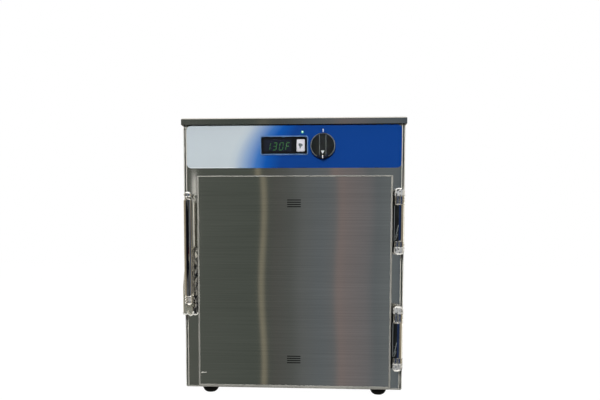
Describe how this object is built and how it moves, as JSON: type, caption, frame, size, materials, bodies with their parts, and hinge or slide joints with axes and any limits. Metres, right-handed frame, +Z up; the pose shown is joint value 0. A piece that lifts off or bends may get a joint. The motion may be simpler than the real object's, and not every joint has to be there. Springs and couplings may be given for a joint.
{
  "type": "blanket warmer cabinet",
  "caption": "Countertop stainless steel blanket warming cabinet with a hinged door, edge latch, control panel with display and knob, and a fan heated chamber.",
  "frame": {"origin": "under the middle of the whole cabinet, on the surface its feet stand on", "axes": "+X to the right seen from the front, +Y from the front to the rear, +Z up"},
  "size_m": [0.457, 0.4996, 0.575],
  "materials": {
    "brushed_steel": "horizontal grain stainless sheet",
    "liner_steel": "mill finish stainless sheet",
    "zinc_steel": "zinc plated",
    "chrome": "polished plate",
    "rubber": "matt",
    "wool": "mineral wool",
    "overlay": "printed film, satin gloss",
    "bezel": "gloss",
    "window": "dark tinted, gloss",
    "key": "satin",
    "lamp": "clear diffused lens",
    "black_plastic": "satin",
    "board": "laminate",
    "cream_plastic": "satin",
    "heater_sheath": "oxidised",
    "motor_iron": "laminated",
    "magnet": "ferrite",
    "lead_sleeve": "soft sleeve",
    "aluminium": "pressed sheet"
  },
  "bodies": {
    "cabinet": {"cabinet_shell": "brushed_steel", "top_cap": "brushed_steel", "rear_panel": "brushed_steel", "chamber_liner": "liner_steel", "air_baffle": "liner_steel", "shelf_rails": "liner_steel", "base_pan": "zinc_steel", "control_tray": "zinc_steel", "fan_bracket": "zinc_steel", "heater_clips": "zinc_steel", "switch_nut": "zinc_steel", "strike_plate": "zinc_steel", "limit_switch": "zinc_steel", "wire_shelf": "chrome", "temperature_probe": "chrome", "hinge_frame_leaves": "chrome", "hinge_pins": "chrome", "rubber_feet": "rubber", "insulation_sides": "wool", "insulation_top": "wool", "insulation_bottom": "wool", "insulation_rear": "wool", "control_overlay": "overlay", "display_bezel": "bezel", "display_window": "window", "indicator_lamp": "lamp", "rotary_switch": "black_plastic", "power_inlet": "black_plastic", "heater_relay": "black_plastic", "hinge_cams": "black_plastic", "control_board": "board", "display_board": "board", "terminal_block": "cream_plastic", "fuse_holder": "cream_plastic", "heater_element": "heater_sheath", "fan_motor": "motor_iron", "supply_harness": "lead_sleeve"},
    "door": {"door_outer_pan": "brushed_steel", "door_inner_pan": "liner_steel", "door_insulation": "wool", "door_gasket": "rubber", "hinge_door_leaves": "chrome", "latch_base": "chrome", "latch_magnet": "magnet", "latch_pin": "chrome"},
    "latch_lever": {"latch_lever": "chrome"},
    "knob": {"control_knob": "black_plastic", "switch_shaft": "zinc_steel"},
    "set_key": {"set_key": "key"},
    "fan_rotor": {"fan_shaft": "zinc_steel", "fan_impeller": "aluminium"}
  },
  "joints": [
    {"name": "door_hinge", "type": "hinge", "parent": "cabinet", "child": "door", "pos_m": [0.2132, -0.22675, 0.25], "axis": [0, 0, 1], "range_deg": [0, 180]},
    {"name": "latch_lever_pull", "type": "hinge", "parent": "door", "child": "latch_lever", "pos_m": [-0.20795, -0.22775, 0.2087], "axis": [1, 0, 0], "range_deg": [0, 25], "stiffness_Nm_per_rad": 1.5, "springref_deg": -8.59},
    {"name": "knob_turn", "type": "hinge", "parent": "cabinet", "child": "knob", "pos_m": [0.0603, -0.21375, 0.5185], "axis": [0, 1, 0], "range_deg": [0, 180]},
    {"name": "set_key_press", "type": "slide", "parent": "cabinet", "child": "set_key", "axis": [0, 1, 0], "range_m": [0, 0.001], "stiffness_N_per_m": 400, "springref_m": -0.0005},
    {"name": "fan_spin", "type": "hinge", "parent": "cabinet", "child": "fan_rotor", "pos_m": [0.0038, 0.165, 0.24185], "axis": [0, 1, 0], "continuous": true}
  ]
}
